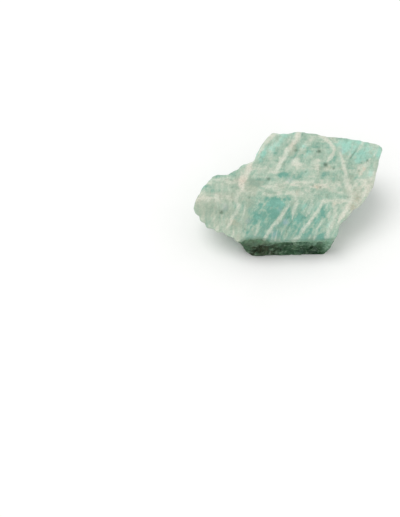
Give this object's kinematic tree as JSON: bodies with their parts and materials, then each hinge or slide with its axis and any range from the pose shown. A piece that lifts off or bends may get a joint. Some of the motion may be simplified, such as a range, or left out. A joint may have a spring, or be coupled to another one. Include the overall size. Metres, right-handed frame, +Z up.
{
  "type": "rough amazonite stone",
  "caption": "Rough piece of blue-green amazonite feldspar with cream streaks on a broad broken face, resting on a flat break.",
  "frame": {"origin": "middle of the stone's footprint box, on the surface that it rests on", "axes": "+Z up from the flat break that it rests on, +X along the broad streaked face, +Y from that face's low front edge to the high back edge"},
  "size_m": [0.0604, 0.0412, 0.0283],
  "materials": {
    "amazonite": "broken feldspar: blue-green mottled with cream and pinkish streaks, satin on cleavage, matt on rough breaks"
  },
  "bodies": {
    "root": {"amazonite_stone": "amazonite"}
  },
  "joints": []
}
